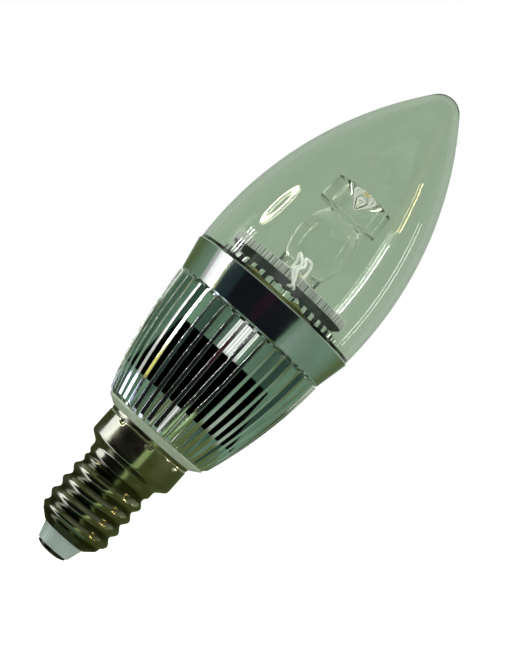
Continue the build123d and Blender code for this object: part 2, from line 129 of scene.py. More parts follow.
def newGroup(name, inputs, outputs):
    group = bpy.data.node_groups.new(name, "ShaderNodeTree")
    for label, kind, value in inputs:
        socket = group.interface.new_socket(label, in_out="INPUT", socket_type=kind)
        socket.default_value = value
    for label, kind in outputs:
        group.interface.new_socket(label, in_out="OUTPUT", socket_type=kind)
    return group, group.nodes.new("NodeGroupInput").outputs, group.nodes.new("NodeGroupOutput").inputs


def placeGroup(tree, group, values):
    node = tree.nodes.new("ShaderNodeGroup")
    node.node_tree = group
    for key, value in values.items():
        node.inputs[key].default_value = value
    return node.outputs


def newMaterial(name):
    material = bpy.data.materials.new(name)
    material.use_nodes = True
    tree = material.node_tree
    return material, tree, tree.nodes["Principled BSDF"]


def linkLook(tree, shader, colour, rough, normal):
    tree.links.new(colour, shader.inputs["Base Color"])
    tree.links.new(rough, shader.inputs["Roughness"])
    tree.links.new(normal, shader.inputs["Normal"])


def showSurface(tree, shown):
    tree.links.new(shown, tree.nodes["Material Output"].inputs["Surface"])


# effects that several finishes share, with bump depths in mm

effectLook = {
    "grainRange": (0.3, 0.7), "markRange": (0.42, 0.68), "broadLines": 0.13,
    "grainDepth": 0.05, "turnedDepth": 0.02, "rippleDepth": 0.1,
}
floatKind = "NodeSocketFloat"
colourKind = "NodeSocketColor"


def makeMottle(look):
    # two colours mixed by a soft noise, and the same noise as a height
    group, given, made = newGroup(
        "mottle",
        [("Scale", floatKind, 300.0), ("Dark", colourKind, (0, 0, 0, 1)), ("Light", colourKind, (1, 1, 1, 1))],
        [("Colour", colourKind), ("Height", floatKind)],
    )
    place = addNode(group, "ShaderNodeTexCoord").outputs["Object"]
    grain = noiseNode(group, {"Detail": 5.0, "Roughness": 0.6}, {"Vector": place, "Scale": given["Scale"]})
    share = spread(group, grain, *look["grainRange"])
    group.links.new(mixColour(group, share, given["Dark"], given["Light"]), made["Colour"])
    group.links.new(grain, made["Height"])
    return group


def makeHandling(look):
    # patches of finger marks that change the gloss
    group, given, made = newGroup(
        "handling",
        [("Scale", floatKind, 120.0), ("Clean", floatKind, 0.1), ("Marked", floatKind, 0.3)],
        [("Roughness", floatKind)],
    )
    place = addNode(group, "ShaderNodeTexCoord").outputs["Object"]
    marks = noiseNode(group, {"Detail": 3.0, "Distortion": 0.6}, {"Vector": place, "Scale": given["Scale"]})
    reach = mathNode(group, "SUBTRACT", given["Marked"], given["Clean"])
    duller = mathNode(group, "MULTIPLY", spread(group, marks, *look["markRange"]), reach)
    group.links.new(mathNode(group, "ADD", given["Clean"], duller), made["Roughness"])
    return group


def makeToolLines(look):
    # fine rings round the axis, as a turning tool leaves them, with some lines deeper than others
    group, given, made = newGroup(
        "toolLines",
        [("Lines per metre", floatKind, 9000.0), ("Uneven", floatKind, 0.5)],
        [("Height", floatKind)],
    )
    count = mathNode(group, "MULTIPLY", objectPlace(group)["Z"], given["Lines per metre"])
    fine = noiseNode(group, {"Scale": 1.0, "Detail": 2.0}, {"W": count}, noise_dimensions="1D")
    broad = noiseNode(group, {"Scale": look["broadLines"], "Detail": 1.0}, {"W": count}, noise_dimensions="1D")
    deep = mathNode(group, "MULTIPLY", broad, given["Uneven"])
    group.links.new(mathNode(group, "ADD", fine, deep), made["Height"])
    return group


mottle = makeMottle(effectLook)
handling = makeHandling(effectLook)
toolLines = makeToolLines(effectLook)
print("shared effects ready:", [group.name for group in bpy.data.node_groups])


def placeMottle(tree, look):
    return placeGroup(tree, mottle, {
        "Scale": look["grain"], "Dark": rgba(look["dark"]), "Light": rgba(look["light"]),
    })


def placeHandling(tree, look):
    values = {"Scale": look["patch"], "Clean": look["clean"], "Marked": look["marked"]}
    return placeGroup(tree, handling, values)["Roughness"]


def placeToolLines(tree, look):
    return placeGroup(tree, toolLines, {"Lines per metre": look["lines"], "Uneven": look["uneven"]})["Height"]


def mottledMaterial(name, look):
    material, tree, shader = newMaterial(name)
    shader.inputs["Metallic"].default_value = look.get("metallic", 0.0)
    colour = placeMottle(tree, look)
    normal = bumpNormal(tree, look["bump"], effectLook["grainDepth"], colour["Height"])
    linkLook(tree, shader, colour["Colour"], placeHandling(tree, look), normal)
    return material


def wear(thing, material):
    thing.data.materials.clear()
    thing.data.materials.append(material)


# mesh helpers

def newPiece(name, bm, node):
    mesh = bpy.data.meshes.new(name)
    bmesh.ops.recalc_face_normals(bm, faces=bm.faces)
    bm.to_mesh(mesh)
    bm.free()
    mesh.polygons.foreach_set("use_smooth", [True] * len(mesh.polygons))
    mesh.set_sharp_from_angle(angle=math.radians(32))
    piece = bpy.data.objects.new(name, mesh)
    bpy.context.scene.collection.objects.link(piece)
    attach(piece, "root")
    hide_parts(node)
    return piece


def joinRings(bm, lower, upper):
    if len(lower) == 1 or len(upper) == 1:
        point, ring = (lower[0], upper) if len(lower) == 1 else (upper[0], lower)
        for here, after in zip(ring, ring[1:] + ring[:1]):
            bm.faces.new((point, here, after))
        return
    for i in range(len(lower)):
        j = (i + 1) % len(lower)
        bm.faces.new((lower[i], lower[j], upper[j], upper[i]))


def ringPoints(bm, radius, height, segments):
    if radius < 1e-6:
        return [bm.verts.new((0, 0, height * mm))]
    turn = math.tau / segments
    return [
        bm.verts.new((radius * math.cos(k * turn) * mm, radius * math.sin(k * turn) * mm, height * mm))
        for k in range(segments)
    ]


def turnedMesh(outline, segments):
    # outline of (radius, height) in mm, turned round the axis
    bm = bmesh.new()
    rings = [ringPoints(bm, radius, height, segments) for radius, height in outline]
    for lower, upper in zip(rings, rings[1:]):
        joinRings(bm, lower, upper)
    return bm


def eased(points, reach, steps=3):
    # rounds the corners of an open outline with short curves
    out = [points[0]]
    for before, corner, after in zip(points, points[1:], points[2:]):
        b, c, a = Vector(before), Vector(corner), Vector(after)
        turn = (c - b).angle(a - c)
        if turn < math.radians(20):
            out.append(corner)
            continue
        cut = min(reach, (c - b).length * 0.45, (a - c).length * 0.45)
        start, end = c + (b - c).normalized() * cut, c + (a - c).normalized() * cut
        for k in range(steps + 1):
            t = k / steps
            out.append(tuple(start.lerp(c, t).lerp(c.lerp(end, t), t)))
    out.append(points[-1])
    return out


# clear cover

coverLook = {
    "radius": 16.7, "widest": 62.3, "ogive": 66.5, "tip": 3.6, "wall": 1.3, "rim": 57.5,
    "neckLow": 54.5, "neckRadius": 15.93, "neckBore": 14.63, "segments": 144,
    "tint": (0.86, 0.90, 0.84), "clean": 0.0, "marked": 0.05, "patch": 90.0, "index": 1.49, "ripple": 0.02,
    "film": 0.02, "dust": (0.62, 0.72, 0.62), "dustScale": 110.0, "dustRange": (0.42, 0.72),
    "scratch": 0.05, "scratchScale": 700.0, "scratchRange": (0.66, 0.74), "scratchTurn": (0.5, 0.3, 0.2),
    "scratchStretch": (1.0, 1.0, 0.06), "arcSteps": 60, "tipSteps": 12, "edge": 0.15,
}


def ogiveOutline(inset, low, look):
    # long arc from a low height into the rounded tip
    centre = look["radius"] - look["ogive"]
    tipCentre = look["widest"] + math.sqrt((look["ogive"] - look["tip"]) ** 2 - centre ** 2)
    lean = math.atan2(tipCentre - look["widest"], -centre)
    body = look["ogive"] - inset
    first = math.asin((low - look["widest"]) / body)
    points = []
    for k in range(look["arcSteps"] + 1):
        angle = first + (lean - first) * k / look["arcSteps"]
        points.append((centre + body * math.cos(angle), look["widest"] + body * math.sin(angle)))
    tip = look["tip"] - inset
    for k in range(1, look["tipSteps"] + 1):
        angle = lean + (math.pi / 2 - lean) * k / look["tipSteps"]
        points.append((max(0.0, tip * math.cos(angle)), tipCentre + tip * math.sin(angle)))
    points[-1] = (0.0, tipCentre + tip)
    return points


def makeCover(look):
    outer = ogiveOutline(0.0, look["rim"], look)
    inner = ogiveOutline(look["wall"], look["rim"] + look["wall"] / 2, look)
    foot = [
        inner[0], (look["neckBore"], look["rim"]), (look["neckBore"], look["neckLow"]),
        (look["neckRadius"], look["neckLow"]), (look["neckRadius"], look["rim"]), outer[0],
    ]
    outline = list(reversed(inner)) + eased(foot, look["edge"])[1:-1] + outer
    return newPiece("clearCover", turnedMesh(outline, look["segments"]), "clear_cover")


def clearMaterial(name, look):
    # clear plastic: lets lamp light through to what it covers, with faint marks in the gloss
    material, tree, shader = newMaterial(name)
    shader.inputs["Base Color"].default_value = rgba(look["tint"])
    shader.inputs["Transmission Weight"].default_value = 1.0
    shader.inputs["IOR"].default_value = look["index"]
    waves = placeGroup(tree, mottle, {"Scale": look["patch"]})["Height"]
    ripple = bumpNormal(tree, look["ripple"], effectLook["rippleDepth"], waves)
    tree.links.new(placeHandling(tree, look), shader.inputs["Roughness"])
    tree.links.new(ripple, shader.inputs["Normal"])
    clear = shader.outputs[0]
    if "film" in look:
        clear = filmed(tree, clear, look)
    path = addNode(tree, "ShaderNodeLightPath").outputs
    soft = mathNode(tree, "MAXIMUM", path["Is Shadow Ray"], path["Is Diffuse Ray"])
    bare = addNode(tree, "ShaderNodeBsdfTransparent").outputs[0]
    showSurface(tree, mixShaders(tree, soft, clear, bare))
    return material


def filmed(tree, clear, look):
    # patches of dust and a few long scratches over the clear plastic
    place = addNode(tree, "ShaderNodeTexCoord").outputs["Object"]
    turned = {"Rotation": look["scratchTurn"], "Scale": look["scratchStretch"]}
    drawn = addNode(tree, "ShaderNodeMapping", turned, {"Vector": place}).outputs[0]
    streak = noiseNode(tree, {"Scale": look["scratchScale"], "Detail": 2.0}, {"Vector": drawn})
    cloudy = {"Scale": look["dustScale"], "Detail": 5.0, "Roughness": 0.65}
    broad = noiseNode(tree, cloudy, {"Vector": place})
    film = mathNode(tree, "MULTIPLY", spread(tree, broad, *look["dustRange"]), look["film"])
    lines = mathNode(tree, "MULTIPLY", spread(tree, streak, *look["scratchRange"]), look["scratch"])
    dust = addNode(tree, "ShaderNodeBsdfDiffuse", {"Color": rgba(look["dust"])}).outputs[0]
    return mixShaders(tree, mathNode(tree, "ADD", film, lines), clear, dust)


cover = makeCover(coverLook)
wear(cover, clearMaterial("clearPlastic", coverLook))
print("cover turned,", len(cover.data.polygons), "faces")


# light guide: an egg on a foot, with a funnelled crown

guideLook = {
    "floor": 62.5, "footRadius": 5.2, "footTop": 63.3, "skirt": 4.1, "eggCentre": 70.0, "eggHalf": 7.75,
    "eggRadius": 5.28, "waist": 3.5, "crownLow": 76.3, "crownHigh": 81.4, "crownRadius": 6.1, "crownRound": 0.35,
    "crownTop": 5.75, "funnel": 5.2, "throat": (2.0, 79.8), "funnelTip": (0.15, 78.0), "pocket": 3.2,
    "pocketStraight": 0.2, "segments": 96, "eggSteps": 40, "funnelSteps": 16, "domeSteps": 16,
    "crownEdge": 0.25, "footEdge": 0.18,
    "tint": (0.95, 0.97, 0.95), "clean": 0.0, "marked": 0.03, "patch": 260.0, "index": 1.49, "ripple": 0.05,
}


def arcThrough(first, middle, last, count):
    # circle through three points, walked from the first to the last
    (ax, ay), (bx, by), (cx, cy) = first, middle, last
    d = 2 * (ax * (by - cy) + bx * (cy - ay) + cx * (ay - by))
    ux = ((ax**2 + ay**2) * (by - cy) + (bx**2 + by**2) * (cy - ay) + (cx**2 + cy**2) * (ay - by)) / d
    uy = ((ax**2 + ay**2) * (cx - bx) + (bx**2 + by**2) * (ax - cx) + (cx**2 + cy**2) * (bx - ax)) / d
    radius = math.hypot(ax - ux, ay - uy)
    start, end = math.atan2(ay - uy, ax - ux), math.atan2(cy - uy, cx - ux)
    via = math.atan2(by - uy, bx - ux)
    while via < start:
        via += math.tau
    while end < start:
        end += math.tau
    if via > end:
        end -= math.tau
    return [(ux + radius * math.cos(start + (end - start) * k / count),
             uy + radius * math.sin(start + (end - start) * k / count)) for k in range(count + 1)]


def makeGuide(look):
    def reach(radius):
        return look["eggHalf"] * math.sqrt(1 - (radius / look["eggRadius"]) ** 2)

    low, high = look["eggCentre"] - reach(look["skirt"]), look["eggCentre"] + reach(look["waist"])
    egg = []
    for k in range(look["eggSteps"] + 1):
        height = low + (high - low) * k / look["eggSteps"]
        share = (height - look["eggCentre"]) / look["eggHalf"]
        egg.append((look["eggRadius"] * math.sqrt(1 - share ** 2), height))
    crown = eased([
        egg[-1], (look["waist"], look["crownLow"]), (look["crownRadius"] - look["crownRound"], look["crownLow"]),
        (look["crownRadius"], look["crownLow"] + look["crownRound"]), (look["crownTop"], look["crownHigh"]),
        (look["funnel"], look["crownHigh"]), look["throat"],
    ], look["crownEdge"])[:-1]
    mouth = (look["funnel"], look["crownHigh"])
    trumpet = arcThrough(mouth, look["throat"], look["funnelTip"], look["funnelSteps"])[1:]
    foot = eased([
        (look["pocket"], look["floor"] + look["pocketStraight"]), (look["pocket"], look["floor"]),
        (look["footRadius"], look["floor"]), (look["footRadius"], look["footTop"]),
        (look["skirt"], look["footTop"]), egg[0],
    ], look["footEdge"])[:-1]
    dome, pocket, spring = [], look["pocket"], look["floor"] + look["pocketStraight"]
    for k in range(look["domeSteps"] + 1):
        angle = math.pi / 2 * (1 - k / look["domeSteps"])
        dome.append((pocket * math.cos(angle), spring + pocket * math.sin(angle)))
    dome[0] = (0.0, dome[0][1])
    outline = dome[:-1] + foot + egg + crown[1:] + trumpet + [(0.0, look["funnelTip"][1])]
    return newPiece("lightGuide", turnedMesh(outline, look["segments"]), "light_guide")


guide = makeGuide(guideLook)
wear(guide, clearMaterial("clearAcrylic", guideLook))
print("light guide turned,", len(guide.data.polygons), "faces")


# screw cap: one rolled sheet with a round thread, a shoulder, a skirt and staked dimples

capLook = {
    "wall": 0.3, "lip": (4.45, 3.8), "root": 6.1, "crest": 6.86, "low": 5.2, "high": 17.3, "pitch": 2.822,
    "crestAtX": 7.02, "runOut": 1.3, "neck": 6.65, "shoulder": 19.3, "skirt": 8.48, "skirtLow": 20.6, "rim": 26.1,
    "grooveDepth": 0.14, "grooveAt": 25.45, "grooveHalf": 0.28, "segments": 192,
    "stakes": 8, "stakeAngle": 6.0, "stakeAt": 25.0, "stakeReach": 0.62, "stakeDepth": 0.3,
    "neckRise": 0.5, "bend": 0.5, "bendSteps": 5, "fineStep": 0.11,
}


def capOutline(look):
    points = eased([
        look["lip"], (look["root"], look["low"]), (look["root"], look["high"]),
        (look["neck"], look["high"] + look["neckRise"]), (look["neck"], look["shoulder"]),
        (look["skirt"], look["skirtLow"]), (look["skirt"], look["rim"]),
    ], look["bend"], look["bendSteps"])
    fine = []
    for (r0, z0), (r1, z1) in zip(points, points[1:]):
        steps = max(1, round(math.hypot(r1 - r0, z1 - z0) / look["fineStep"]))
        fine += [(r0 + (r1 - r0) * k / steps, z0 + (z1 - z0) * k / steps) for k in range(steps)]
    return fine + [points[-1]]


def threadRise(angle, height, look):
    # round right-hand wave that runs out at both ends of the threaded stretch
    middle = look["crestAtX"] + look["pitch"] * angle / math.tau
    wave = 0.5 + 0.5 * math.cos(math.tau * (height - middle) / look["pitch"])
    inside = min(height - look["low"], look["high"] - height)
    fade = min(1.0, max(0.0, inside / look["runOut"]))
    return (look["crest"] - look["root"]) * wave * fade * fade * (3 - 2 * fade)


def stakeDip(angle, radius, height, look):
    step = math.tau / look["stakes"]
    off = (angle - math.radians(look["stakeAngle"]) + step / 2) % step - step / 2
    away = math.hypot(off * radius, height - look["stakeAt"]) / look["stakeReach"]
    groove = abs(height - look["grooveAt"]) / look["grooveHalf"]
    dip = look["stakeDepth"] * max(0.0, 1 - away * away)
    if groove < 1:
        dip += look["grooveDepth"] * (0.5 + 0.5 * math.cos(math.pi * groove))
    return dip


def makeCap(look):
    bm = bmesh.new()
    turn = math.tau / look["segments"]
    sheets = []
    for inset in (0.0, look["wall"]):
        rings = []
        for radius, height in capOutline(look):
            ring = []
            for k in range(look["segments"]):
                angle = k * turn
                here = radius - inset
                if look["low"] < height < look["high"]:
                    here += threadRise(angle, height, look)
                if height > look["skirtLow"]:
                    here -= stakeDip(angle, radius, height, look)
                spot = (here * math.cos(angle), here * math.sin(angle), height)
                ring.append(bm.verts.new(Vector(spot) * mm))
            rings.append(ring)
        for lower, upper in zip(rings, rings[1:]):
            joinRings(bm, lower, upper)
        sheets.append(rings)
    joinRings(bm, sheets[0][0], sheets[1][0])
    joinRings(bm, sheets[0][-1], sheets[1][-1])
    return newPiece("screwCap", bm, "cap_shell")


nickelLook = {
    "dark": (0.36, 0.335, 0.225), "light": (0.46, 0.43, 0.31), "grain": 220.0, "patch": 260.0, "clean": 0.15,
    "marked": 0.25, "lines": 6000.0, "uneven": 1.2, "bump": 0.12,
    # the last two give the radii and colour of painted shade in the thread valleys
    "valley": (6.12, 6.78), "tarnish": (0.10, 0.09, 0.05),
}


def turnedMetal(name, look):
    # metal with rings from rolling or turning, and painted shade that darkens its valleys where a look gives their
    # radii
    material, tree, shader = newMaterial(name)
    shader.inputs["Metallic"].default_value = 1.0
    tone = placeMottle(tree, look)["Colour"]
    if "valley" in look:
        # painted shade: the colour darkens toward the root of each valley
        low, high = look["valley"]
        tone = mixColour(tree, spread(tree, axisDistance(tree), low * mm, high * mm), look["tarnish"], tone)
    normal = bumpNormal(tree, look["bump"], effectLook["turnedDepth"], placeToolLines(tree, look))
    linkLook(tree, shader, tone, placeHandling(tree, look), normal)
    return material


cap = makeCap(capLook)
wear(cap, turnedMetal("rolledNickel", nickelLook))
print("screw cap rolled,", len(cap.data.polygons), "faces")


# collar ring

collarLook = {
    "dark": (0.66, 0.70, 0.68), "light": (0.76, 0.80, 0.78), "grain": 150.0, "patch": 120.0, "clean": 0.10,
    "marked": 0.15, "lines": 9000.0, "uneven": 0.8, "bump": 0.15,
}
wear(nodes["collar_ring"], turnedMetal("turnedAluminium", collarLook))


# heat sink: drawn channels stay mirror bright, the turned fin edges are a little duller

sinkLook = {
    "dark": (0.86, 0.90, 0.86), "light": (0.95, 0.97, 0.94), "grain": 180.0, "patch": 320.0, "clean": 0.02,
    "marked": 0.05, "lines": 5200.0, "uneven": 1.0, "bump": 0.25, "edgeTilt": (0.03, 0.06), "edgeRough": 0.13,
    "corner": 0.18, "cornerSamples": 4,
    "gloom": (0.004, 0.004, 0.005), "gloomLow": 33.1, "gloomHigh": 44.8, "gloomRadius": 12.4, "crown": 51.0,
    # the keys from bounces on set the painted glow that stands in for light after many bounces in the channels
    "bounces": 2.5, "deep": (0.035, 0.065, 0.052), "deepLight": (0.17, 0.28, 0.20), "deepRange": (0.42, 0.6),
    "channels": 6.7,
}


def finMaterial(look):
    material, tree, shader = newMaterial("brightAluminium")
    shader.inputs["Metallic"].default_value = 1.0
    colour = placeMottle(tree, look)["Colour"]
    turnedEdge = spread(tree, mathNode(tree, "ABSOLUTE", facingUp(tree)), *look["edgeTilt"])
    duller = mathNode(tree, "MULTIPLY", turnedEdge, look["edgeRough"] - look["clean"])
    rough = mathNode(tree, "ADD", placeHandling(tree, look), duller)
    marks = mathNode(tree, "MULTIPLY", placeToolLines(tree, look), turnedEdge)
    radius = {"Radius": look["corner"] * mm}
    corner = addNode(tree, "ShaderNodeBevel", radius, samples=look["cornerSamples"]).outputs[0]
    normal = bumpNormal(tree, look["bump"], effectLook["turnedDepth"], marks, corner)
    # dark band low in the channels, the same all the way round the core
    z = objectPlace(tree)["Z"]
    core = mathNode(tree, "LESS_THAN", axisDistance(tree), look["gloomRadius"] * mm)
    darkBand = mathNode(tree, "MULTIPLY", core, between(tree, z, look["gloomLow"] * mm, look["gloomHigh"] * mm))
    linkLook(tree, shader, mixColour(tree, darkBand, colour, look["gloom"]), rough, normal)
    # painted glow in place of light that has gone to and fro in a channel many times: past a few bounces the metal
    # glows an even dim tone, varied from channel to channel, near black on the dark band and above the crown
    depth = addNode(tree, "ShaderNodeLightPath").outputs["Glossy Depth"]
    many = mathNode(tree, "GREATER_THAN", depth, look["bounces"])
    dark = mathNode(tree, "MAXIMUM", darkBand, mathNode(tree, "GREATER_THAN", z, look["crown"] * mm))
    count = mathNode(tree, "MULTIPLY", axisAngle(tree), look["channels"])
    vary = noiseNode(tree, {"Scale": 1.0, "Detail": 2.5, "Roughness": 0.6}, {"W": count}, noise_dimensions="1D")
    channel = mixColour(tree, spread(tree, vary, *look["deepRange"]), look["deep"], look["deepLight"])
    tone = mixColour(tree, dark, channel, look["gloom"])
    deep = addNode(tree, "ShaderNodeEmission", None, {"Color": tone}).outputs[0]
    showSurface(tree, mixShaders(tree, many, shader.outputs[0], deep))
    return material


wear(nodes["heat_sink"], finMaterial(sinkLook))
print("metal finishes on collar and heat sink")


# LED board: sheared edge with upright marks, pale top, and a dark underside with a dish, both painted near black
# as shade

# the colour under is painted shade for the underside and the dish
boardLook = {
    "edgeDark": (0.06, 0.075, 0.065), "edgeLight": (0.58, 0.63, 0.57), "under": (0.004, 0.004, 0.004),
    "top": (0.72, 0.74, 0.70), "marks": 34.0, "markRange": (0.35, 0.62), "rough": 0.6, "polish": -0.15,
    "bump": 0.4, "shine": 0.0, "topFacing": 0.9, "underFacing": -0.5, "underDrop": 0.05,
    "radius": 12.1, "low": 61.1, "high": 62.5, "dishRadius": 10.5, "dishLow": 59.6, "dishWall": 0.3,
    "rimInset": 0.15, "rimDrop": 0.25, "edge": 0.12, "segments": 144,
}


def boardMaterial(look):
    material, tree, shader = newMaterial("shearedBoard")
    shader.inputs["Specular IOR Level"].default_value = look["shine"]
    x, y, z = objectPlace(tree)
    count = mathNode(tree, "MULTIPLY", mathNode(tree, "ARCTAN2", y, x), look["marks"])
    fine = noiseNode(tree, {"Scale": 1.0, "Detail": 3.0, "Roughness": 0.7}, {"W": count}, noise_dimensions="1D")
    share = spread(tree, fine, *look["markRange"])
    edge = mixColour(tree, share, look["edgeDark"], look["edgeLight"])
    facing = facingUp(tree)
    upper = mixColour(tree, mathNode(tree, "GREATER_THAN", facing, look["topFacing"]), edge, look["top"])
    # painted shade: the underside and the dish below the plate take a near-black colour
    paintedShadeBelow = mathNode(tree, "LESS_THAN", z, (look["low"] - look["underDrop"]) * mm)
    under = mathNode(tree, "MAXIMUM", mathNode(tree, "LESS_THAN", facing, look["underFacing"]), paintedShadeBelow)
    rough = mathNode(tree, "ADD", mathNode(tree, "MULTIPLY", share, look["polish"]), look["rough"])
    normal = bumpNormal(tree, look["bump"], effectLook["grainDepth"], fine)
    linkLook(tree, shader, mixColour(tree, under, upper, look["under"]), rough, normal)
    return material


def makeBoard(look):
    # plate with a shallow dish hanging under its rim, a sheet of painted shade
    radius, low, high, wall = look["radius"], look["low"], look["high"], look["dishWall"]
    inner = radius - 3 * wall
    outline = eased([
        (0.0, high), (radius, high), (radius, low), (radius - look["rimInset"], low - look["rimDrop"]),
        (look["dishRadius"], look["dishLow"]), (look["dishRadius"] - wall, look["dishLow"]),
        (inner, low - wall), (inner, low), (0.0, low),
    ], look["edge"])
    return newPiece("ledBoard", turnedMesh(outline, look["segments"]), "led_board")


board = makeBoard(boardLook)
wear(board, boardMaterial(boardLook))
print("LED board turned,", len(board.data.polygons), "faces")


# moulded, glued and soldered pieces that show through the cover or at the cap

plainLooks = {
    "base_housing": {"dark": (0.33, 0.39, 0.29), "light": (0.40, 0.46, 0.35), "grain": 500.0,
        "patch": 150.0, "clean": 0.3, "marked": 0.45, "bump": 0.05},
    "cap_insulator": {"dark": (0.30, 0.37, 0.33), "light": (0.38, 0.45, 0.40), "grain": 420.0,
        "patch": 180.0, "clean": 0.28, "marked": 0.4, "bump": 0.06},
    "centre_contact": {"dark": (0.03, 0.035, 0.03), "light": (0.09, 0.09, 0.08), "grain": 700.0,
        "patch": 500.0, "clean": 0.25, "marked": 0.5, "bump": 0.3, "metallic": 1.0},
    "cover_sealant": {"dark": (0.07, 0.08, 0.015), "light": (0.16, 0.18, 0.05), "grain": 260.0,
        "patch": 300.0, "clean": 0.1, "marked": 0.25, "bump": 0.3},
    "thermal_pad": {"dark": (0.30, 0.32, 0.30), "light": (0.40, 0.42, 0.40), "grain": 600.0,
        "patch": 300.0, "clean": 0.5, "marked": 0.7, "bump": 0.2},
    "led_emitter": {"dark": (0.74, 0.74, 0.70), "light": (0.82, 0.82, 0.78), "grain": 900.0,
        "patch": 600.0, "clean": 0.4, "marked": 0.55, "bump": 0.05},
    "led_phosphor": {"dark": (0.62, 0.44, 0.03), "light": (0.80, 0.60, 0.06), "grain": 3000.0,
        "patch": 900.0, "clean": 0.5, "marked": 0.6, "bump": 0.1},
    "solder_joints": {"dark": (0.55, 0.56, 0.56), "light": (0.72, 0.73, 0.74), "grain": 900.0,
        "patch": 700.0, "clean": 0.12, "marked": 0.3, "bump": 0.15, "metallic": 1.0},
    "led_wire_positive": {"dark": (0.90, 0.92, 0.89), "light": (0.97, 0.98, 0.96), "grain": 900.0,
        "patch": 500.0, "clean": 0.25, "marked": 0.4, "bump": 0.05},
    "led_wire_negative": {"dark": (0.88, 0.90, 0.88), "light": (0.96, 0.97, 0.95), "grain": 900.0,
        "patch": 500.0, "clean": 0.25, "marked": 0.4, "bump": 0.05},
}

# sealant: an uneven bead with humps where it was squeezed out

sealantLook = {
    "inner": 13.2, "outer": 14.5, "low": 54.1, "level": 57.75, "wave": 0.22, "shoulder": 0.45, "segments": 192,
    "waves": 4.0, "waveCut": 0.4, "edge": 0.4, "edgeSteps": 4,
    "humps": (
        (-24.0, 1.15, 9.0), (14.5, 1.25, 7.0), (62.0, 0.4, 8.0),
        (-71.0, 0.5, 10.0), (128.0, 0.8, 11.0), (205.0, 0.9, 10.0),
    ),
}


def sealantTop(azimuth, look):
    spot = Vector((math.cos(azimuth), math.sin(azimuth), look["waveCut"])) * look["waves"]
    top = look["level"] + look["wave"] * noise.noise(spot)
    for middle, rise, width in look["humps"]:
        off = (math.degrees(azimuth) + 90 - middle + 180) % 360 - 180
        top += rise * math.exp(-(off / width) ** 2)
    return top


def makeSealant(look):
    bm = bmesh.new()
    columns = []
    for k in range(look["segments"]):
        azimuth = math.tau * k / look["segments"]
        top = sealantTop(azimuth, look)
        outline = eased([
            (look["inner"], look["low"]), (look["inner"], top - look["shoulder"]),
            ((look["inner"] + look["outer"]) / 2, top), (look["outer"], top - look["shoulder"]),
            (look["outer"], look["low"]),
        ], look["edge"], look["edgeSteps"])
        across, along = math.cos(azimuth) * mm, math.sin(azimuth) * mm
        columns.append([bm.verts.new((r * across, r * along, z * mm)) for r, z in outline])
    for here, after in zip(columns, columns[1:] + columns[:1]):
        joinRings(bm, here, after)
    return newPiece("sealantBead", bm, "cover_sealant")


bead = makeSealant(sealantLook)
print("sealant bead laid,", len(bead.data.polygons), "faces")

# driver parts inside the body, seen only when it is taken apart

driverLooks = {
    "driver_board": {"dark": (0.02, 0.10, 0.04), "light": (0.05, 0.17, 0.07), "grain": 700.0,
        "patch": 300.0, "clean": 0.3, "marked": 0.45, "bump": 0.1},
    "bridge_rectifier": {"dark": (0.012, 0.012, 0.013), "light": (0.03, 0.03, 0.03), "grain": 1500.0,
        "patch": 400.0, "clean": 0.4, "marked": 0.6, "bump": 0.15},
    "driver_chip": {"dark": (0.012, 0.012, 0.013), "light": (0.03, 0.03, 0.03), "grain": 1500.0,
        "patch": 400.0, "clean": 0.4, "marked": 0.6, "bump": 0.15},
    "input_capacitor": {"dark": (0.01, 0.015, 0.03), "light": (0.03, 0.04, 0.07), "grain": 400.0,
        "patch": 200.0, "clean": 0.15, "marked": 0.3, "bump": 0.04},
    "output_capacitor": {"dark": (0.01, 0.015, 0.03), "light": (0.03, 0.04, 0.07), "grain": 400.0,
        "patch": 200.0, "clean": 0.15, "marked": 0.3, "bump": 0.04},
    "transformer_core": {"dark": (0.02, 0.02, 0.021), "light": (0.05, 0.05, 0.05), "grain": 1200.0,
        "patch": 500.0, "clean": 0.5, "marked": 0.7, "bump": 0.25},
    "transformer_winding": {"dark": (0.50, 0.34, 0.02), "light": (0.68, 0.50, 0.05), "grain": 300.0,
        "patch": 250.0, "clean": 0.2, "marked": 0.35, "bump": 0.05},
    "fuse_resistor": {"dark": (0.12, 0.22, 0.27), "light": (0.18, 0.29, 0.34), "grain": 900.0,
        "patch": 400.0, "clean": 0.3, "marked": 0.45, "bump": 0.1},
    "filter_choke": {"dark": (0.02, 0.02, 0.021), "light": (0.05, 0.05, 0.05), "grain": 1200.0,
        "patch": 500.0, "clean": 0.5, "marked": 0.7, "bump": 0.25},
    "contact_lead": {"dark": (0.012, 0.012, 0.012), "light": (0.03, 0.03, 0.03), "grain": 900.0,
        "patch": 400.0, "clean": 0.3, "marked": 0.45, "bump": 0.05},
    "shell_lead": {"dark": (0.01, 0.03, 0.14), "light": (0.03, 0.06, 0.22), "grain": 900.0,
        "patch": 400.0, "clean": 0.3, "marked": 0.45, "bump": 0.05},
}

for name, look in {**plainLooks, **driverLooks}.items():
    first, *others = name.split("_")
    finish = mottledMaterial(first + "".join(word.title() for word in others), look)
    wear(bead if name == "cover_sealant" else nodes[name], finish)

domeLook = {
    "tint": (0.97, 0.96, 0.92), "clean": 0.02, "marked": 0.08, "patch": 900.0, "index": 1.41, "ripple": 0.02,
}
wear(nodes["led_dome"], clearMaterial("clearSilicone", domeLook))
print("finishes on", len(plainLooks) + len(driverLooks) + 1, "small pieces")


# stage: pale floor, studio tent for reflections, cards and lamps

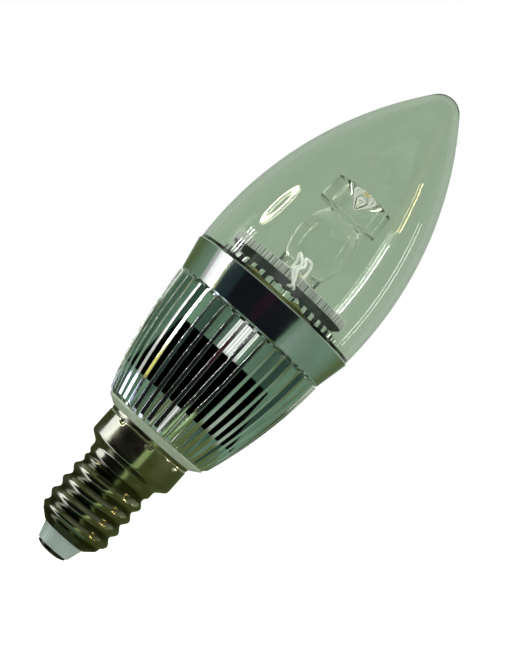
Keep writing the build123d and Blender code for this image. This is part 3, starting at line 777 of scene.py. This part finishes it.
stageLook = {
    "floorAt": -45.0, "floorHalf": 4.0, "floorColour": (0.84, 0.86, 0.84), "floorShade": 0.985, "floorGrain": 40.0,
    "floorRough": 0.8, "floorLift": 0.6, "plainLight": (0.50, 0.52, 0.50), "white": (1.0, 1.0, 1.0),
    "tentRadius": 1.1, "tentMiddle": 0.05, "tentRows": 24, "tentColumns": 48,
    "tentBehind": (0.0, 0.45), "tentHigh": (0.03, 0.1), "tentUnder": (-0.04, -0.14),
    "tentBack": (0.395, 0.48, 0.385), "tentFront": (0.10, 0.14, 0.06), "tentLow": (0.17, 0.27, 0.19),
}
cameraLook = {
    "distance": 330.0, "height": 36.0, "aim": (0.97, 0.0, 52.1), "lean": 41.70, "seen": 112.7,
    "sensor": 36.0, "nearest": 0.01,
}


def glowMaterial(name, colour, strength):
    material, tree, shader = newMaterial(name)
    tree.nodes.remove(shader)
    glow = addNode(tree, "ShaderNodeEmission", {"Color": rgba(colour), "Strength": strength})
    showSurface(tree, glow.outputs[0])
    return material


def stagePiece(name, points, faces, material, unseen=True):
    mesh = bpy.data.meshes.new(name)
    mesh.from_pydata(points, [], faces)
    piece = bpy.data.objects.new(name, mesh)
    bpy.context.scene.collection.objects.link(piece)
    piece.data.materials.append(material)
    if unseen:  # shows in metal and through clear plastic, and gives no light of its own
        piece.visible_camera = False
        piece.visible_diffuse = False
        piece.visible_shadow = False
        piece.visible_volume_scatter = False
    return piece


def toward(azimuth, elevation, distance, pivot):
    # azimuth 0 is -Y, positive toward +X; the pivot is a height on the axis in mm
    a, e = math.radians(azimuth), math.radians(elevation)
    away = Vector((math.sin(a) * math.cos(e), -math.cos(a) * math.cos(e), math.sin(e)))
    return away * distance * mm + Vector((0, 0, pivot * mm))


def patch(name, left, right, low, high, distance, pivot, colour, strength, steps=12):
    # piece of a sphere round the bulb, given by its angles
    points, faces = [], []
    for row in range(steps + 1):
        for column in range(steps + 1):
            azimuth = left + (right - left) * column / steps
            elevation = low + (high - low) * row / steps
            points.append(toward(azimuth, elevation, distance, pivot))
    for row in range(steps):
        for column in range(steps):
            i = row * (steps + 1) + column
            faces.append((i, i + 1, i + steps + 2, i + steps + 1))
    return stagePiece(name, points, faces, glowMaterial(name, colour, strength))


def upright(name, left, right, low, high, radius, colour, strength, steps=48):
    # upright strip on a cylinder round the bulb's axis, given by heights in mm
    points = []
    for column in range(steps + 1):
        a = math.radians(left + (right - left) * column / steps)
        for height in (low, high):
            points.append((math.sin(a) * radius * mm, -math.cos(a) * radius * mm, height * mm))
    faces = [(2 * c, 2 * c + 2, 2 * c + 3, 2 * c + 1) for c in range(steps)]
    piece = stagePiece(name, points, faces, glowMaterial(name, colour, strength))
    piece.visible_transmission = False
    return piece


def ringLamp(name, azimuth, elevation, distance, pivot, radius, thickness, colour, strength, steps=64):
    centre = toward(azimuth, elevation, distance, pivot)
    away = (centre - Vector((0, 0, pivot * mm))).normalized()
    side = away.cross(Vector((0, 0, 1))).normalized()
    up = side.cross(away)
    points = []
    for k in range(steps):
        a = math.tau * k / steps
        direction = side * math.cos(a) + up * math.sin(a)
        points += [centre + direction * (radius - thickness) * mm, centre + direction * radius * mm]
    count = 2 * steps
    faces = [(2 * k, 2 * k + 1, (2 * k + 3) % count, (2 * k + 2) % count) for k in range(steps)]
    return stagePiece(name, points, faces, glowMaterial(name, colour, strength))


def seenRay(tree):
    # rays that show the background: straight, in metal or through clear plastic
    path = addNode(tree, "ShaderNodeLightPath").outputs
    through = mathNode(tree, "ADD", path["Is Glossy Ray"], path["Is Transmission Ray"])
    return mathNode(tree, "MINIMUM", mathNode(tree, "ADD", path["Is Camera Ray"], through), 1.0)


def makeWorld(look):
    world = bpy.data.worlds.new("studio")
    bpy.context.scene.world = world
    world.use_nodes = True
    tree = world.node_tree
    background = tree.nodes["Background"].inputs
    tree.links.new(mixColour(tree, seenRay(tree), look["plainLight"], look["white"]), background["Color"])
    background["Strength"].default_value = 1.0


def makeFloor(look):
    half, level = look["floorHalf"], look["floorAt"] * mm
    corners = [(-half, -half, level), (half, -half, level), (half, half, level), (-half, half, level)]
    material, tree, shader = newMaterial("paleFloor")
    shade = tuple(part * look["floorShade"] for part in look["floorColour"])
    colour = placeMottle(tree, {"grain": look["floorGrain"], "dark": shade, "light": look["floorColour"]})
    tree.links.new(colour["Colour"], shader.inputs["Base Color"])
    shader.inputs["Roughness"].default_value = look["floorRough"]
    lift = mathNode(tree, "MULTIPLY", seenRay(tree), look["floorLift"])
    white = addNode(tree, "ShaderNodeEmission", {"Color": rgba(look["white"])}, {"Strength": lift})
    both = addNode(tree, "ShaderNodeAddShader", None, {0: shader.outputs[0], 1: white.outputs[0]})
    showSurface(tree, both.outputs[0])
    floor = stagePiece("floor", corners, [(0, 1, 2, 3)], material, unseen=False)
    floor.visible_glossy = False  # the tent stands for the room in metal and clear plastic
    floor.visible_transmission = False


def makeTent(look):
    rows, columns, radius = look["tentRows"], look["tentColumns"], look["tentRadius"]
    points = []
    for row in range(rows + 1):
        e = math.pi * (row / rows - 0.5)
        flat, height = radius * math.cos(e), radius * math.sin(e) + look["tentMiddle"]
        for column in range(columns):
            a = math.tau * column / columns
            points.append((flat * math.sin(a), -flat * math.cos(a), height))
    faces = []
    for row in range(rows):
        for here in range(columns):
            after, low, high = (here + 1) % columns, row * columns, (row + 1) * columns
            faces.append((low + here, low + after, high + after, high + here))
    material = glowMaterial("tent", look["tentBack"], 1.0)
    tree = material.node_tree
    x, y, z = objectPlace(tree)
    behind = spread(tree, y, *(reach * radius for reach in look["tentBehind"]))
    high = spread(tree, z, *(reach * radius for reach in look["tentHigh"]))
    under = spread(tree, z, *(reach * radius for reach in look["tentUnder"]))
    level = mixColour(tree, mathNode(tree, "MULTIPLY", behind, high), look["tentFront"], look["tentBack"])
    mirrored = mixColour(tree, under, level, look["tentLow"])
    through = addNode(tree, "ShaderNodeLightPath").outputs["Is Transmission Ray"]
    shown = mixColour(tree, through, mirrored, look["tentBack"])
    tree.links.new(shown, tree.nodes["Emission"].inputs["Color"])
    stagePiece("tent", points, faces, material)


def areaLamp(name, azimuth, elevation, distance, size, power, colour):
    data = bpy.data.lights.new(name, "AREA")
    data.shape = "DISK"
    data.size = size
    data.energy = power
    data.color = colour
    lamp = bpy.data.objects.new(name, data)
    bpy.context.scene.collection.objects.link(lamp)
    lamp.location = toward(azimuth, elevation, distance, lampAim)
    aim = Vector((0, 0, lampAim * mm)) - lamp.location
    lamp.rotation_euler = aim.to_track_quat("-Z", "Y").to_euler()
    lamp.visible_glossy = False
    lamp.visible_transmission = False


def makeCamera(look):
    data = bpy.data.cameras.new("view")
    camera = bpy.data.objects.new("view", data)
    bpy.context.scene.collection.objects.link(camera)
    aim = Vector(look["aim"]) * mm
    back = math.sqrt(look["distance"] ** 2 - (look["aim"][2] - look["height"]) ** 2)
    eye = Vector((look["aim"][0], -back, look["height"])) * mm
    ahead = (aim - eye).normalized()
    level = ahead.cross(Vector((0, 0, 1))).normalized()
    above = level.cross(ahead)
    lean = math.radians(look["lean"])
    right = level * math.cos(lean) + above * math.sin(lean)
    up = above * math.cos(lean) - level * math.sin(lean)
    camera.matrix_world = Matrix((
        (right.x, up.x, -ahead.x, eye.x), (right.y, up.y, -ahead.y, eye.y),
        (right.z, up.z, -ahead.z, eye.z), (0, 0, 0, 1),
    ))
    data.sensor_width = look["sensor"]
    data.lens = data.sensor_width * look["distance"] / look["seen"]
    data.clip_start = look["nearest"]
    bpy.context.scene.camera = camera


# cards on a sphere: left, right, low and high angle, distance, height of the pivot, colour, strength

white = stageLook["white"]
sphereCards = {
    "softLeft": (-92, -77, -16, 6, 700, 50, white, 1.2),
    "softLeftFar": (-99, -92, -16, 6, 700, 50, white, 0.5),
    "softLeftNear": (-77, -70, -16, 6, 700, 50, (0.92, 1.0, 1.05), 0.45),
    "softLeftLow": (-98, -84, -45, -16, 700, 50, white, 0.55),
    "darkFront": (-48, 38, -50, -4.5, 520, 45, (0.008, 0.009, 0.012), 1.0),
    "blueCard": (-69, -48, -50, -4.5, 520, 45, (0.018, 0.032, 0.036), 1.0),
    "redCard": (-10, 2, -18, -8, 400, 45, (0.045, 0.008, 0.018), 1.0),
    "greyRight": (46, 110, -50, -18, 600, 45, (0.34, 0.41, 0.35), 1.0),
    "yellowCard": (-83, -71, -42, -16, 500, 50, (0.78, 0.72, 0.16), 1.0),
    "lampStandNear": (-81.5, -80, -30, 6, 600, 66, white, 36.0),
    "lampStandFar": (-76.5, -75, -30, 6, 600, 66, white, 36.0),
    "tubeLow": (70.5, 72.2, 3, 27, 600, 68, white, 40.0),
    "tubeHigh": (76, 77.6, 30, 46, 600, 80, (1.0, 0.82, 0.35), 32.0),
    "edgeStrip": (110, 111.5, 0, 30, 600, 68, white, 8.0),
}

# upright cards: left and right angle, low and high in mm, radius, colour, strength

uprightCards = {
    "cardLeft": (-180, -92, -40, 26, 27, (0.06, 0.075, 0.03), 1.0),
    "cardWhite": (-96, -64, 14, 26, 26, (0.86, 0.96, 1.2), 2.3),
    "cardWhiteLow": (-92, -70, -40, 14, 26, (0.86, 0.96, 1.2), 2.0),
    "cardBlack": (-92, 9, -40, 26, 27, (0.008, 0.008, 0.008), 1.0),
    "cardGreen": (9, 21, -40, 26, 27, (0.50, 0.72, 0.38), 1.0),
    "cardRight": (21, 180, -40, 26, 27, (0.095, 0.125, 0.045), 1.0),
    "lensBand": (-85, 85, 30.5, 53.5, 330, (0.006, 0.006, 0.007), 1.0),
    "lensGlowHigh": (-20, 20, 53.5, 76, 328, white, 1.0),
    "lensGlowLeft": (-52, -20, 53.5, 76, 328, (0.35, 0.55, 0.42), 1.0),
    "lensGlowRight": (20, 52, 53.5, 76, 328, (0.35, 0.55, 0.42), 1.0),
    "lensGlowLow": (-9, 12, 19, 30.5, 328, white, 0.75),
}
teethAngles = ((-96, -62), (-44, -36), (-27, -13), (-6, -1), (6, 16), (30, 44), (58, 90))
teethGlow = (76, 88, 328, white, 1.1)
topCard = (-180, 180, 58, 89, 700, 50, (0.9, 1.0, 0.9), 0.25, 24)
ringCard = (-77, 15, 600, 70, 74, 24, (1.0, 0.92, 0.74), 24.0)

# lamps: azimuth, elevation, distance, size in metres, power, colour

lampAim = 52.0
lamps = {
    "keyLamp": (-70, 38, 700, 0.35, 2.4, (1.0, 0.98, 0.94)),
    "fillLamp": (75, 25, 800, 0.45, 1.6, (0.97, 1.0, 0.96)),
    "topLamp": (10, 80, 800, 0.5, 1.6, white),
}

makeWorld(stageLook)
makeFloor(stageLook)
makeTent(stageLook)
makeCamera(cameraLook)
for name, values in sphereCards.items():
    patch(name, *values)
for name, values in uprightCards.items():
    upright(name, *values)
for left, right in teethAngles:
    upright("teethGlow", left, right, *teethGlow)
patch("softTop", *topCard).visible_transmission = False
ringLamp("ringLamp", *ringCard)
for name, values in lamps.items():
    areaLamp(name, *values)
bpy.context.scene.view_settings.view_transform = "Standard"
print("stage and camera ready")
